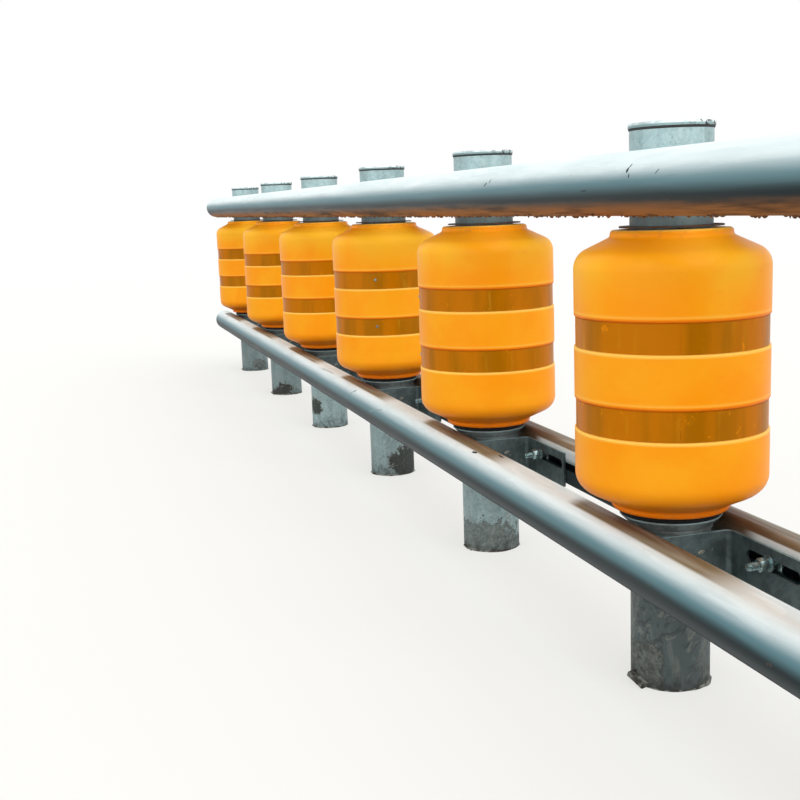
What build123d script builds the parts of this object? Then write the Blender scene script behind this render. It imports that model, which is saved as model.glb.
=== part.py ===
from build123d import *
import os

# Roller guardrail: posts in a straight row along X, road side toward -Y, near end at +X.
# The origin is on the ground at the middle post. Sizes are in millimetres.

# Row
BAYS = 6
BAY = 900.0
RAIL_OVERHANG = 300.0

# Posts and their caps
POST_OD = 140.0
POST_WALL = 4.5
POST_ABOVE_RAIL = 41.0
CAP_OVERHANG = 2.5
CAP_THICKNESS = 8.0
CAP_EDGE = 2.0
CAP_PLUG_DEPTH = 14.0
CAP_PLUG_WALL = 4.0
CAP_PLUG_CLEARANCE = 0.3

# Lower rails, rolled from sheet with a slot toward the posts
LOWER_RAIL_Z = 256.0
LOWER_RAIL_HEIGHT = 100.0
LOWER_RAIL_WIDTH = 80.0
LOWER_RAIL_SHEET = 4.0
LOWER_RAIL_OUTER_ROUND = 49.0
LOWER_RAIL_INNER_ROUND = 20.0
LOWER_RAIL_SLOT = 17.0
LIP_FACE = 78.0

# Brackets, bent plate between the rails on the near side of each post
PLATE = 5.0
BEND_INSIDE = 10.0
BRACKET_FIT = 0.3
LOWER_FLANGE = 215.0
LOWER_BRACKET_HEIGHT = 80.0
UPPER_FLANGE = 90.0
UPPER_BRACKET_HEIGHT = 60.0
BOLT_SLOT_WIDTH = 22.0
LOWER_SLOT_FROM_WEB = 55.0
UPPER_SLOT_FROM_WEB = 40.0
SLOT_END_STRIP = 9.0

# Support collar, a dish on a short sleeve that stands on the lower bracket
POST_FIT = 0.3
SLEEVE_LENGTH = 5.0
SLEEVE_WALL = 3.0
DISH_OD = 178.0
DISH_DEPTH = 16.0
DISH_HOLLOW = 9.0
RIM_HEIGHT = 2.0
RIM_WALL = 2.2

# Gasket, seated in the dish
GASKET_FIT = 0.3
GASKET_STANDOUT = 10.0

# Rollers
ROLLER_SEAT = 0.3
ROLLER_LENGTH = 485.0
ROLLER_OD = 332.0
ROLLER_BORE_CLEARANCE = 2.0
ROLLER_BORE_EDGE = 2.0
NECK_OD = 206.0
NECK_LENGTH = 12.0
NECK_EDGE = 7.0
NECK_ROUND = 7.0
SHOULDER_FALL = 30.0
SHOULDER_ROUND = 36.0

# Reflective bands, in shallow recesses round each roller
BAND_HEIGHT = 50.0
BAND_THICKNESS = 1.2
BAND_SPACING = 143.0
BAND_SEAT = 0.3
RECESS_DEPTH = 4.0
RECESS_MARGIN = 0.8
RECESS_EDGE = 3.2
RECESS_CORNER = 0.5

# Ring on the post above each roller
TOP_RING_GAP = 3.0
TOP_RING_THICKNESS = 3.0
TOP_RING_OD = 176.0

# Upper rails, round tube each side of the posts
UPPER_RAIL_OD = 101.6
UPPER_RAIL_WALL = 4.0
UPPER_RAIL_ABOVE_ROLLER = 25.0
UPPER_RAIL_GAP = 1.0

# Worked out from the sizes above
POST_R = POST_OD / 2
BORE_R = POST_R + POST_FIT
POSTS_X = [BAY * (BAYS / 2 - n) for n in range(BAYS + 1)]
RAIL_LENGTH = BAYS * BAY + 2 * RAIL_OVERHANG

SLEEVE_R = BORE_R + SLEEVE_WALL
RIM_R = DISH_OD / 2
DISH_SLOPE = (RIM_R - SLEEVE_R) / DISH_DEPTH
DISH_MOUTH_R = RIM_R - RIM_WALL
DISH_FLOOR_R = DISH_MOUTH_R - DISH_HOLLOW * DISH_SLOPE
LOWER_BRACKET_Z = LOWER_RAIL_Z - LOWER_RAIL_HEIGHT / 2
COLLAR_BASE_Z = LOWER_BRACKET_Z + LOWER_BRACKET_HEIGHT + BRACKET_FIT
DISH_Z = COLLAR_BASE_Z + SLEEVE_LENGTH
RIM_TOP_Z = DISH_Z + DISH_DEPTH + RIM_HEIGHT
GASKET_TOP_Z = RIM_TOP_Z + GASKET_STANDOUT

ROLLER_R = ROLLER_OD / 2
ROLLER_BASE_Z = GASKET_TOP_Z + ROLLER_SEAT
ROLLER_MID_Z = ROLLER_BASE_Z + ROLLER_LENGTH / 2
ROLLER_TOP_Z = ROLLER_BASE_Z + ROLLER_LENGTH
RECESS_R = ROLLER_R - RECESS_DEPTH

UPPER_RAIL_Y = POST_R + UPPER_RAIL_GAP + UPPER_RAIL_OD / 2
UPPER_RAIL_Z = ROLLER_TOP_Z + UPPER_RAIL_ABOVE_ROLLER + UPPER_RAIL_OD / 2
UPPER_BRACKET_Z = UPPER_RAIL_Z - UPPER_BRACKET_HEIGHT / 2
POST_HEIGHT = UPPER_RAIL_Z + UPPER_RAIL_OD / 2 + POST_ABOVE_RAIL

parts = {}


def ring(outer_r, inner_r, height):
    """A flat-ended ring standing on Z = 0."""
    outer = Cylinder(outer_r, height, align=(Align.CENTER, Align.CENTER, Align.MIN))
    inner = Cylinder(inner_r, height, align=(Align.CENTER, Align.CENTER, Align.MIN))
    return outer - inner


def turned(outline):
    """A solid turned about Z from a closed outline of (radius, height) points."""
    face = make_face(Plane.XZ * outline)
    return revolve(face, Axis.Z)


def at_posts(shape):
    """One copy of a shape at every post, as separate solids in one node."""
    return Compound(children=[Pos(x, 0, 0) * shape for x in POSTS_X])


def post():
    """Round tube, open at the foot."""
    return ring(POST_R, POST_R - POST_WALL, POST_HEIGHT)


def post_cap():
    """Flat disc a little wider than the post, with a plug that drops into the tube."""
    disc = Cylinder(POST_R + CAP_OVERHANG, CAP_THICKNESS, align=(Align.CENTER, Align.CENTER, Align.MIN))
    disc = fillet(disc.edges().group_by(Axis.Z)[-1], CAP_EDGE)
    plug_r = POST_R - POST_WALL - CAP_PLUG_CLEARANCE
    plug = Pos(0, 0, -CAP_PLUG_DEPTH) * ring(plug_r, plug_r - CAP_PLUG_WALL, CAP_PLUG_DEPTH)
    return Pos(0, 0, POST_HEIGHT) * (disc + plug)


def roller():
    """Moulded roller: bored barrel, sloped shoulders, a neck at each end and two recesses."""
    half = ROLLER_LENGTH / 2
    shoulder = half - NECK_LENGTH
    recess_top = BAND_SPACING / 2 + BAND_HEIGHT / 2 + RECESS_MARGIN
    recess_low = BAND_SPACING / 2 - BAND_HEIGHT / 2 - RECESS_MARGIN
    corners = [
        (POST_R + ROLLER_BORE_CLEARANCE, half, ROLLER_BORE_EDGE),
        (NECK_OD / 2, half, NECK_EDGE),
        (NECK_OD / 2, shoulder, NECK_ROUND),
        (ROLLER_R, shoulder - SHOULDER_FALL, SHOULDER_ROUND),
        (ROLLER_R, recess_top, RECESS_EDGE),
        (RECESS_R, recess_top, RECESS_CORNER),
        (RECESS_R, recess_low, RECESS_CORNER),
        (ROLLER_R, recess_low, RECESS_EDGE),
    ]
    corners += [(radius, -height, edge) for radius, height, edge in reversed(corners)]
    points = [(radius, height) for radius, height, edge in corners]
    edges = [edge for radius, height, edge in corners]
    barrel = turned(FilletPolyline(*points, radius=edges, close=True))
    return Pos(0, 0, ROLLER_MID_Z) * barrel


def bands():
    """The two reflective bands of one roller."""
    inner_r = RECESS_R + BAND_SEAT
    band = ring(inner_r + BAND_THICKNESS, inner_r, BAND_HEIGHT)
    low_z = ROLLER_MID_Z - BAND_SPACING / 2 - BAND_HEIGHT / 2
    return [Pos(0, 0, low_z) * band, Pos(0, 0, low_z + BAND_SPACING) * band]


def support_collar():
    """Open dish on a short sleeve round the post."""
    outline = Polyline(
        (BORE_R, COLLAR_BASE_Z),
        (SLEEVE_R, COLLAR_BASE_Z),
        (SLEEVE_R, DISH_Z),
        (RIM_R, DISH_Z + DISH_DEPTH),
        (RIM_R, RIM_TOP_Z),
        (DISH_MOUTH_R, RIM_TOP_Z),
        (DISH_FLOOR_R, RIM_TOP_Z - DISH_HOLLOW),
        (BORE_R, RIM_TOP_Z - DISH_HOLLOW),
        close=True,
    )
    return turned(outline)


def gasket():
    """Ring that fills the dish and stands out of it, under the roller."""
    outline = Polyline(
        (BORE_R, RIM_TOP_Z - DISH_HOLLOW),
        (DISH_FLOOR_R - GASKET_FIT, RIM_TOP_Z - DISH_HOLLOW),
        (DISH_MOUTH_R - GASKET_FIT, RIM_TOP_Z),
        (DISH_MOUTH_R - GASKET_FIT, GASKET_TOP_Z),
        (BORE_R, GASKET_TOP_Z),
        close=True,
    )
    return turned(outline)


def top_ring():
    """Flat ring fixed to the post just above a roller."""
    return Pos(0, 0, ROLLER_TOP_Z + TOP_RING_GAP) * ring(TOP_RING_OD / 2, BORE_R, TOP_RING_THICKNESS)


def upper_rail(side):
    """Round tube the length of the row, beside the posts."""
    tube = ring(UPPER_RAIL_OD / 2, UPPER_RAIL_OD / 2 - UPPER_RAIL_WALL, RAIL_LENGTH)
    tube = Rot(0, 90, 0) * Pos(0, 0, -RAIL_LENGTH / 2) * tube
    return Pos(0, side * UPPER_RAIL_Y, UPPER_RAIL_Z) * tube


def lower_rail_outline(inset):
    """Closed outline of the lower rail, lips at X = 0, set in from the outside by a distance."""
    width = LOWER_RAIL_WIDTH - 2 * inset
    block = Pos(inset + width / 2, 0) * Rectangle(width, LOWER_RAIL_HEIGHT - 2 * inset)
    block = fillet(block.vertices().group_by(Axis.X)[-1], LOWER_RAIL_OUTER_ROUND - inset)
    return fillet(block.vertices().group_by(Axis.X)[0], LOWER_RAIL_INNER_ROUND - inset)


def lower_rail(side):
    """Open section: rounded outside, folded in to two lips with a slot between them."""
    slot = Rectangle(4 * LOWER_RAIL_SHEET, LOWER_RAIL_SLOT)
    section = lower_rail_outline(0) - lower_rail_outline(LOWER_RAIL_SHEET) - slot
    rail = extrude(Plane.YZ * section, RAIL_LENGTH)
    rail = Pos(-RAIL_LENGTH / 2, LIP_FACE, LOWER_RAIL_Z) * rail
    return rail if side > 0 else mirror(rail, Plane.XZ)


def bracket(half_width, flange, height, base_z, slot_from_web, slot_z):
    """Bent plate: a web across the post's near side and a slotted flange along each rail."""
    web_x = POST_R + BRACKET_FIT
    outside = Pos(web_x + flange / 2, 0) * Rectangle(flange, 2 * half_width)
    outside = fillet(outside.vertices().group_by(Axis.X)[0], BEND_INSIDE + PLATE)
    inside = Pos(web_x + PLATE + flange / 2, 0) * Rectangle(flange, 2 * (half_width - PLATE))
    inside = fillet(inside.vertices().group_by(Axis.X)[0], BEND_INSIDE)
    plate = Pos(0, 0, base_z) * extrude(outside - inside, height)
    slot_length = flange - slot_from_web - SLOT_END_STRIP
    slot_face = Plane.XZ * SlotOverall(slot_length, BOLT_SLOT_WIDTH)
    slot = extrude(slot_face, 2 * half_width, both=True)
    return plate - Pos(web_x + slot_from_web + slot_length / 2, 0, slot_z) * slot


for n, x in enumerate(POSTS_X, start=1):
    parts[f"post_{n}"] = Pos(x, 0, 0) * post()
    parts[f"roller_{n}"] = Pos(x, 0, 0) * roller()
    parts[f"bands_{n}"] = Compound(children=[Pos(x, 0, 0) * band for band in bands()])

parts["post_caps"] = at_posts(post_cap())
parts["top_rings"] = at_posts(top_ring())
parts["roller_gaskets"] = at_posts(gasket())
parts["support_collars"] = at_posts(support_collar())
parts["upper_front_rail"] = upper_rail(-1)
parts["upper_back_rail"] = upper_rail(1)
parts["lower_front_rail"] = lower_rail(-1)
parts["lower_back_rail"] = lower_rail(1)
parts["lower_brackets"] = at_posts(
    bracket(LIP_FACE, LOWER_FLANGE, LOWER_BRACKET_HEIGHT, LOWER_BRACKET_Z, LOWER_SLOT_FROM_WEB, LOWER_RAIL_Z)
)
parts["upper_brackets"] = at_posts(
    bracket(
        POST_R + UPPER_RAIL_GAP,
        UPPER_FLANGE,
        UPPER_BRACKET_HEIGHT,
        UPPER_BRACKET_Z,
        UPPER_SLOT_FROM_WEB,
        UPPER_RAIL_Z,
    )
)

os.makedirs("parts", exist_ok=True)
for name, shape in parts.items():
    export_step(shape, f"parts/{name}.step")
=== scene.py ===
import math
import random

import bmesh
import bpy
from bpy.props import FloatProperty, FloatVectorProperty, IntProperty, PointerProperty
from mathutils import Matrix, Vector
from mathutils.bvhtree import BVHTree


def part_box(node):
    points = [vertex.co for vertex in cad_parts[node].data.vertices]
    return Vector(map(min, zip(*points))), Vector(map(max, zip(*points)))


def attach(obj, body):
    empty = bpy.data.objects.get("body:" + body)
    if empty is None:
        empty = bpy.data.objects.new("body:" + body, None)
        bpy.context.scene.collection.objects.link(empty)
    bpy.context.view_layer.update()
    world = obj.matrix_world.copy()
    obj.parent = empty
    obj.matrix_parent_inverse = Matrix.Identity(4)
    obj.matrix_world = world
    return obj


bl_info = {
    "name": "Roller Guardrail",
    "version": (1, 0, 0),
    "blender": (4, 5, 0),
    "location": "View3D > Sidebar > Guardrail",
    "description": "Finishes, fasteners, wear and studio for a roller guardrail",
    "category": "Object",
}

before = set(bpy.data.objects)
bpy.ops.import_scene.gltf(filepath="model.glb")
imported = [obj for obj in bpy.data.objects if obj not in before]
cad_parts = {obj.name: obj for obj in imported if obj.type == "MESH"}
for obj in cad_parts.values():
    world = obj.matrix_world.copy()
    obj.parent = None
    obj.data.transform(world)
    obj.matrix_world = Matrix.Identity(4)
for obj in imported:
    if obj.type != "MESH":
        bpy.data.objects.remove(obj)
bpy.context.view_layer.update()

MM = 0.001
POSTS = range(1, 8)
SIDES = {"front": -1, "back": 1}
WHITE = 1.0
SHARP_ANGLE = math.radians(40)
MERGE = 1e-6
BURIED = 1.0 * MM


def srgb(red, green, blue):
    """A colour picked on screen, 0 to 255, as Blender's linear colour."""
    def linear(value):
        share = value / 255
        return share / 12.92 if share <= 0.04045 else ((share + 0.055) / 1.055) ** 2.4
    return (linear(red), linear(green), linear(blue))


def colour(name, description, default):
    return FloatVectorProperty(name=name, description=description, subtype="COLOR",
                               size=3, min=0, max=1, default=default)


def length(name, description, default):
    return FloatProperty(name=name, description=description, subtype="DISTANCE",
                         unit="LENGTH", min=0, default=default)


def angle(name, description, default):
    return FloatProperty(name=name, description=description, subtype="ANGLE",
                         unit="ROTATION", default=math.radians(default))


# Places read from the frame
POST_BOXES = {n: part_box(f"post_{n}") for n in POSTS}
POST_X = {n: (low.x + high.x) / 2 for n, (low, high) in POST_BOXES.items()}
POST_R = (POST_BOXES[1][1].x - POST_BOXES[1][0].x) / 2
POST_TOP = POST_BOXES[1][1].z
BAY = POST_X[1] - POST_X[2]
ROLLER_LOW, ROLLER_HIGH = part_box("roller_1")
ROLLER_MID = (ROLLER_HIGH.z + ROLLER_LOW.z) / 2
ROLLER_HALF = (ROLLER_HIGH.z - ROLLER_LOW.z) / 2
BAND_LOW, BAND_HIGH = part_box("bands_1")
BAND_R = (BAND_HIGH.x - BAND_LOW.x) / 2
BAND_HALF = 25 * MM  # half the height of one band
BAND_OFF = (BAND_HIGH.z - BAND_LOW.z) / 2 - BAND_HALF
UPPER_LOW, UPPER_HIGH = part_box("upper_front_rail")
UPPER_MID = (UPPER_HIGH.z + UPPER_LOW.z) / 2
UPPER_R = (UPPER_HIGH.z - UPPER_LOW.z) / 2
LOWER_LOW, LOWER_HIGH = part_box("lower_front_rail")
LOWER_MID = (LOWER_HIGH.z + LOWER_LOW.z) / 2
LOWER_HALF = (LOWER_HIGH.z - LOWER_LOW.z) / 2
LIP = -LOWER_HIGH.y
DISH_LOW, DISH_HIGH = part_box("support_collars")
DISH_R = (DISH_HIGH.y - DISH_LOW.y) / 2
CAP_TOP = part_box("post_caps")[1].z
LOWER_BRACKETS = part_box("lower_brackets")
UPPER_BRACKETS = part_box("upper_brackets")


class GuardrailFinish(bpy.types.PropertyGroup):
    """Colours of the guardrail's materials."""
    foam: colour("Foam", "Skin of the moulded rollers", srgb(255, 155, 13))
    foam_light: colour("Foam, light", "Sun-bleached patches of the foam", srgb(255, 170, 26))
    # Deeper foam of pits and rubs, and painted shade low on the roller and under each recess's upper lip
    foam_deep_and_shade: colour("Foam, deep", "Foam low on the roller and beside the recesses", srgb(238, 112, 8))
    # Painted highlight on the rollers' upper shoulders
    foam_shoulder_highlight: colour("Foam, bleached", "Sun-bleached shoulders of the rollers", srgb(255, 190, 44))
    # Painted highlight on the lips of the recesses and on the rim of the rollers' top
    foam_lip_highlight: colour("Foam, lip", "Worn edges of the foam beside the tape", srgb(255, 208, 96))
    tape: colour("Tape", "Reflective tape", srgb(192, 112, 0))
    tape_deep: colour("Tape, deep", "Tape where its backing shows through", srgb(166, 102, 0))
    tape_glint: colour("Tape, glint", "Upright glints in the tape", srgb(214, 156, 34))
    zinc: colour("Zinc", "Fresh side of the galvanised steel", srgb(148, 174, 176))
    # Pale zinc crystals on the posts, and painted highlight on the rails' upper sides, the caps' rims and the
    # lower rails' lip
    zinc_pale_and_highlight: colour("Zinc, pale", "Washed zinc on the rails' upper sides", srgb(235, 246, 247))
    # Painted half-shade on the rails' flanks, and a tone of the rails' zinc crystals
    zinc_grey_and_flank_shade: colour("Zinc, side", "Zinc on the rails' flanks", srgb(94, 131, 139))
    # Dark zinc of scratches, plates, rings and knocks, and painted shade on the rails' lower sides
    zinc_dark_and_shade: colour("Zinc, low", "Dull zinc on the rails' lower sides", srgb(16, 33, 37))
    zinc_dull: colour("Zinc, dull", "Patches of dull zinc on the posts", srgb(124, 148, 150))
    # Brown road film on chips, bolts, zinc runs and the rollers' necks; under the upper rails it is also a
    # painted reflection of the orange rollers below
    film: colour("Road film", "Brown film below the rails", srgb(176, 120, 72))
    # Darkest browned zinc of the runs, rings, cement and the lower rails' rub, and the dark part of the
    # painted reflection under the upper rails
    run: colour("Zinc run", "Darkest of the browned zinc runs", srgb(92, 62, 40))
    dust: colour("Dust", "Brown rub on the lower rails beside the rollers", srgb(114, 100, 66))
    plate: colour("Plate", "Dark bracket plate", srgb(80, 93, 94))
    collar: colour("Collar", "Support collars", srgb(120, 127, 125))
    # Dull film and fine dots on the posts and knocked zinc, and painted shade on the posts below the rails
    slate_and_shade: colour("Slate", "Dull film on the posts below the lower rails", srgb(68, 78, 78))
    rubber: colour("Rubber", "Gaskets and seals", srgb(13, 13, 14))
    cement: colour("Cement", "Cement smears and crust at the feet", srgb(138, 142, 134))
    soil: colour("Soil", "Dark blotches at the feet", srgb(46, 46, 41))


class GuardrailFasteners(bpy.types.PropertyGroup):
    """Sizes of the bolts, the rivets and the dark ring under each cap that is a painted shadow under the
    cap's lip.
    """
    bolt: length("Bolt", "Diameter of the bolts", 14 * MM)
    pitch: length("Pitch", "Pitch of the bolts' thread", 2 * MM)
    nut_flats: length("Nut", "Width of a nut across its flats", 21 * MM)
    nut_height: length("Nut height", "Height of a nut", 15 * MM)
    washer: length("Washer", "Outer diameter of a washer", 29 * MM)
    washer_height: length("Washer thickness", "Thickness of a washer", 3 * MM)
    spring: length("Spring washer", "Thickness of the spring washer under each nut", 4 * MM)
    droop: angle("Droop", "Angle by which a bolt's free end hangs", 3.0)
    lift: length("Lift", "How far the bolts sit above the middle of the lower slots", 3.5 * MM)
    standout: length("Standout", "Length of thread beyond the nut", 20 * MM)
    flange: length("Flange", "Thickness of a bracket's flange", 5 * MM)
    head: length("Head", "Height of a bolt's head", 8 * MM)
    rivet: length("Rivet", "Diameter of a rivet's head in the tape", 8 * MM)
    # Height of the dark ring under each cap that stands in for the shadow under the cap's lip
    shadow_ring: length("Cap seal", "Height of the seal under each cap", 4.2 * MM)


class GuardrailMarks(bpy.types.PropertyGroup):
    """Sizes of the mould lines, the tape's seams, the zinc runs and the crust at the feet."""
    mould_line: length("Mould line", "Width of the line left by the mould", 1.2 * MM)
    mould_height: length("Mould height", "How far the mould line stands out", 0.35 * MM)
    seam: length("Seam", "Width of the tape's overlap", 14 * MM)
    seam_height: length("Seam height", "Thickness of the tape's overlap", 0.7 * MM)
    run_radius: length("Zinc run", "Radius of the largest zinc run under the upper rail", 4.6 * MM)
    run_height: length("Run height", "Length of the longest zinc run", 3.4 * MM)
    runs: IntProperty(name="Runs", description="Zinc runs under each upper rail", default=520, min=0)
    crust_height: length("Crust height", "Height of the crust at the feet", 7 * MM)
    crust_reach: length("Crust reach", "How far the crust stands out at the ground", 4 * MM)
    slab: length("Slab", "Thickness of the broken cement slabs at the feet", 9 * MM)
    speck: length("Speck", "Size of the largest cement speck on the brackets", 9 * MM)


class GuardrailStage(bpy.types.PropertyGroup):
    """Camera, lamps and floor."""
    eye: FloatVectorProperty(name="Eye", description="Place of the camera", subtype="TRANSLATION",
                             unit="LENGTH", default=(3.5829, -1.0102, 0.8610))
    heading: angle("Heading", "Turn of the camera about the upright, from +Y", 73.774)
    tilt: angle("Tilt", "Angle of the camera below the horizon", 9.545)
    roll: angle("Roll", "Roll of the camera", -2.103)
    lens: FloatProperty(name="Lens", description="Focal length in millimetres", default=52.27)
    sky: FloatProperty(name="Sky", description="Strength of the light from all round", default=0.95)
    key: FloatProperty(name="Key", description="Strength of the soft lamp at the near end", default=1.55)
    fill: FloatProperty(name="Fill", description="Strength of the low soft lamp on the road side",
                        default=0.8)
    low: FloatProperty(name="Low", description="Strength of the low soft lamp on the far side", default=0.5)
    lamp_size: angle("Lamp size", "Angle that each soft lamp fills", 60)
    floor: colour("Floor", "Floor and backdrop", srgb(250, 250, 247))


# Meshes

def finished(name, shape, finish, body):
    """Cleans a mesh, names it, gives it its finish and lets it ride on a body."""
    bmesh.ops.remove_doubles(shape, verts=shape.verts, dist=MERGE)
    bmesh.ops.recalc_face_normals(shape, faces=shape.faces)
    for face in shape.faces:
        face.smooth = True
    mesh = bpy.data.meshes.new(name)
    shape.to_mesh(mesh)
    shape.free()
    mesh.set_sharp_from_angle(angle=SHARP_ANGLE)
    mesh.materials.append(finish)
    piece = bpy.data.objects.new(name, mesh)
    bpy.context.scene.collection.objects.link(piece)
    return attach(piece, body)


def chain(shape, points, closed=False):
    """A line of edges through points, as new geometry of the mesh."""
    verts = [shape.verts.new(point) for point in points]
    edges = [shape.edges.new(pair) for pair in zip(verts, verts[1:])]
    if closed:
        edges.append(shape.edges.new((verts[-1], verts[0])))
    return verts + edges


def turned(shape, outline, steps, closed=False):
    """Turns an outline of (radius, height) points once round Z, and returns its faces."""
    before = set(shape.faces)
    line = chain(shape, [(radius, 0, height) for radius, height in outline], closed)
    bmesh.ops.spin(shape, geom=line, cent=(0, 0, 0), axis=(0, 0, 1), dvec=(0, 0, 0),
                   angle=2 * math.pi, steps=steps, use_merge=True, use_duplicate=False)
    return [face for face in shape.faces if face not in before]


def once(items):
    """Items without their repeats, in the order in which they first come."""
    return list(dict.fromkeys(items))


def verts_of(faces):
    """The corners of faces, ordered by their place, so that random draws meet the same ones in each run."""
    return sorted(once(vert for face in faces for vert in face.verts), key=lambda vert: vert.co[:])


def copies(shape, places):
    """Copies all of a mesh to each of several places, and takes the first one away."""
    model = shape.verts[:] + shape.edges[:] + shape.faces[:]
    for place in places:
        made = bmesh.ops.duplicate(shape, geom=model)["geom"]
        verts = [item for item in made if isinstance(item, bmesh.types.BMVert)]
        bmesh.ops.transform(shape, matrix=place, verts=verts)
    bmesh.ops.delete(shape, geom=model, context="VERTS")


# Shader nodes

class Nodes:
    """A node tree being wired. Each method adds nodes and returns the output that is used."""

    def __init__(self, tree):
        self.tree = tree

    def node(self, kind, inputs=None, **settings):
        """A node with its settings, each input linked to an output or set to a value."""
        made = self.tree.nodes.new(kind)
        for name, value in settings.items():
            setattr(made, name, value)
        for name, value in (inputs or {}).items():
            if isinstance(value, bpy.types.NodeSocket):
                self.tree.links.new(value, made.inputs[name])
            else:
                made.inputs[name].default_value = value
        return made

    def maths(self, operation, first, second=0.0, clamp=False):
        return self.node("ShaderNodeMath", {0: first, 1: second}, operation=operation,
                         use_clamp=clamp).outputs[0]

    def times(self, first, *others):
        for other in others:
            first = self.maths("MULTIPLY", first, other)
        return first

    def plus(self, first, second, clamp=False):
        return self.maths("ADD", first, second, clamp)

    def minus(self, first, second):
        return self.maths("SUBTRACT", first, second)

    def distance(self, value):
        """A number without its sign."""
        return self.maths("ABSOLUTE", value)

    def ranged(self, value, low, high, to_low=0.0, to_high=1.0):
        """A value stretched from one range to another, smooth at both ends."""
        inputs = {"Value": value, "From Min": low, "From Max": high, "To Min": to_low, "To Max": to_high}
        return self.node("ShaderNodeMapRange", inputs, interpolation_type="SMOOTHSTEP").outputs["Result"]

    def over(self, base, top, *shares):
        """One colour laid over another by the product of shares; a plain colour is a triple."""
        under, upper = [tone if isinstance(tone, bpy.types.NodeSocket) else (*tone, 1.0)
                        for tone in (base, top)]
        return self.node("ShaderNodeMix", {0: self.times(*shares), 6: under, 7: upper},
                         data_type="RGBA").outputs[2]

    def noise(self, vector, scale, detail=3.0, roughness=0.5, distortion=0.0):
        return self.node("ShaderNodeTexNoise",
                         {"Vector": vector, "Scale": scale, "Detail": detail, "Roughness": roughness,
                          "Distortion": distortion}).outputs["Fac"]

    def placed(self, place=(0, 0, 0), stretch=(1, 1, 1)):
        """Object coordinates moved by a place and stretched."""
        coordinates = self.node("ShaderNodeTexCoord").outputs["Object"]
        return self.stretched(coordinates, stretch, place)

    def stretched(self, vector, stretch, place=(0, 0, 0)):
        return self.node("ShaderNodeMapping", {"Vector": vector, "Location": place, "Scale": stretch}
                         ).outputs["Vector"]

    def split(self, vector):
        return self.node("ShaderNodeSeparateXYZ", {"Vector": vector}).outputs

    def joined(self, x, y, z):
        return self.node("ShaderNodeCombineXYZ", {"X": x, "Y": y, "Z": z}).outputs["Vector"]

    def length(self, vector):
        return self.node("ShaderNodeVectorMath", {0: vector}, operation="LENGTH").outputs["Value"]

    def at_each_post(self):
        """Object coordinates measured from the axis of the nearest post."""
        place = self.split(self.placed())
        across = self.node("ShaderNodeMath", {0: place["X"], 1: BAY / 2, 2: -BAY / 2},
                           operation="WRAP").outputs[0]
        return self.joined(across, place["Y"], place["Z"])

    def seen_directly(self):
        """1 where the camera, a gloss or clear glass looks at the surface, else 0."""
        rays = self.node("ShaderNodeLightPath").outputs
        seen = self.maths("MAXIMUM", rays["Is Camera Ray"], rays["Is Glossy Ray"])
        return self.maths("MAXIMUM", seen, rays["Is Transmission Ray"])

    def effect(self, name, **inputs):
        """One of the shared effects, built the first time that it is asked for."""
        shared = bpy.data.node_groups.get(name) or GROUPS[name]()
        named = {key.replace("_", " "): value for key, value in inputs.items()}
        return self.node("ShaderNodeGroup", named, node_tree=shared).outputs


class Coat(Nodes):
    """A finish: a material with one Principled shader, whose plain numbers are given first."""

    def __init__(self, name, **plain):
        self.material = bpy.data.materials.new(name)
        self.material.use_nodes = True
        super().__init__(self.material.node_tree)
        self.shader = self.tree.nodes["Principled BSDF"]
        for key, value in plain.items():
            self.shader.inputs[key.replace("_", " ")].default_value = value

    def grain(self, vector, fine, wide):
        return self.effect("Surface grain", Vector=vector, Fine=fine, Wide=wide)

    def spangle(self, vector, crystals, patches):
        return self.effect("Zinc spangle", Vector=vector, Crystals=crystals, Patches=patches)

    def done(self, relief, strength, depth, **outputs):
        """Links the outputs, and the relief as a bump of a strength and a depth; returns the material."""
        bump = self.node("ShaderNodeBump", {"Height": relief, "Strength": strength, "Distance": depth})
        outputs["Normal"] = bump.outputs["Normal"]
        for key, output in outputs.items():
            self.tree.links.new(output, self.shader.inputs[key.replace("_", " ")])
        return self.material


def new_group(name, numbers, outputs):
    """An empty node group that takes a vector and named numbers: its nodes, its inputs and its outputs."""
    tree = bpy.data.node_groups.new(name, "ShaderNodeTree")
    tree.interface.new_socket("Vector", in_out="INPUT", socket_type="NodeSocketVector")
    for socket_name, default in numbers.items():
        socket = tree.interface.new_socket(socket_name, in_out="INPUT", socket_type="NodeSocketFloat")
        socket.default_value = default
    for socket_name in outputs:
        tree.interface.new_socket(socket_name, in_out="OUTPUT", socket_type="NodeSocketFloat")
    return Nodes(tree), tree.nodes.new("NodeGroupInput").outputs, tree.nodes.new("NodeGroupOutput").inputs


def grain_group():
    """Fine grain over soft, wide unevenness."""
    nodes, given, result = new_group("Surface grain", {"Fine": 900.0, "Wide": 12.0}, ["Fine", "Wide"])
    nodes.tree.links.new(nodes.noise(given["Vector"], given["Fine"], 2.0, 0.6), result["Fine"])
    nodes.tree.links.new(nodes.noise(given["Vector"], given["Wide"], 4.0, 0.55, 0.3), result["Wide"])
    return nodes.tree


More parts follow.
